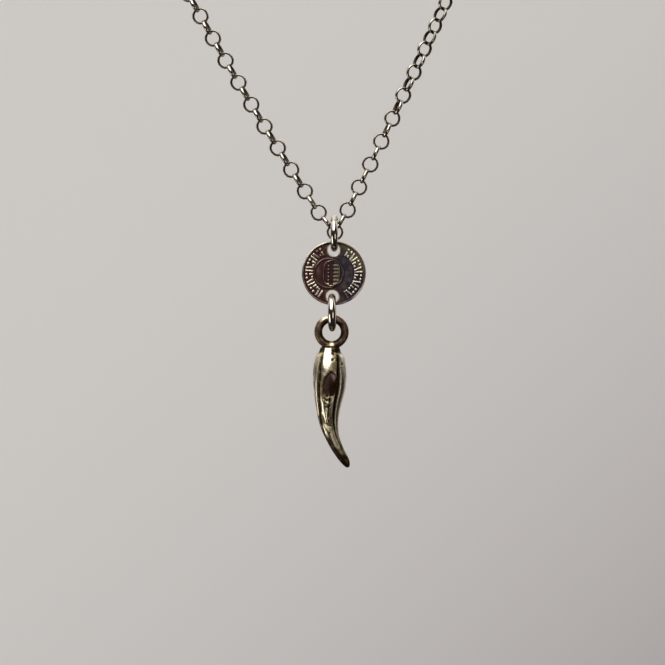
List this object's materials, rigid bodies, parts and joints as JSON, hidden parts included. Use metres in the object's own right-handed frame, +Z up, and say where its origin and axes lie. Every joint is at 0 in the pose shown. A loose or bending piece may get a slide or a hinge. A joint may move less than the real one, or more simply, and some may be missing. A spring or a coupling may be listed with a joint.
{
  "type": "horn pendant necklace",
  "caption": "Belcher chain necklace that hangs from the nape, with a plain ring, a stamped disc, a second ring and a curved horn charm swinging in line below it.",
  "frame": {"origin": "the nape, at the middle of the clasp's ring, where the loop hangs on the back of a neck", "axes": "+Z up along the length of the necklace, -Y towards the side that the pendant faces, +X to that side's right"},
  "size_m": [0.116, 0.1131, 0.1485],
  "materials": {
    "chain_silver": "polished half-round silver wire, darkened a little where links meet",
    "ring_silver": "bright polished round silver wire",
    "disc_silver": "stamped silver, oxidised brown-black in the ground and rubbed bright on the relief",
    "horn_silver": "cast antique silver with a warm patina, dark in its grooves"
  },
  "bodies": {
    "chain_loop": {"chain": "chain_silver", "clasp": "chain_silver"},
    "upper_ring": {"upper_jump_ring": "ring_silver"},
    "disc": {"disc_tag": "disc_silver"},
    "lower_ring": {"lower_jump_ring": "ring_silver"},
    "horn": {"horn_charm": "horn_silver"}
  },
  "joints": [
    {"name": "pendant_swing", "type": "hinge", "parent": "chain_loop", "child": "upper_ring", "pos_m": [0.012, -0.10644, -0.11008], "axis": [1, 0, 0], "range_deg": [-12, 12]},
    {"name": "disc_swing", "type": "hinge", "parent": "upper_ring", "child": "disc", "pos_m": [0.012, -0.10644, -0.11374], "axis": [0, 1, 0], "range_deg": [-12, 12]},
    {"name": "ring_swing", "type": "hinge", "parent": "disc", "child": "lower_ring", "pos_m": [0.012, -0.10644, -0.12219], "axis": [1, 0, 0], "range_deg": [-40, 40]},
    {"name": "horn_swing", "type": "hinge", "parent": "lower_ring", "child": "horn", "pos_m": [0.012, -0.10644, -0.12585], "axis": [0, 1, 0], "range_deg": [-60, 60]}
  ]
}
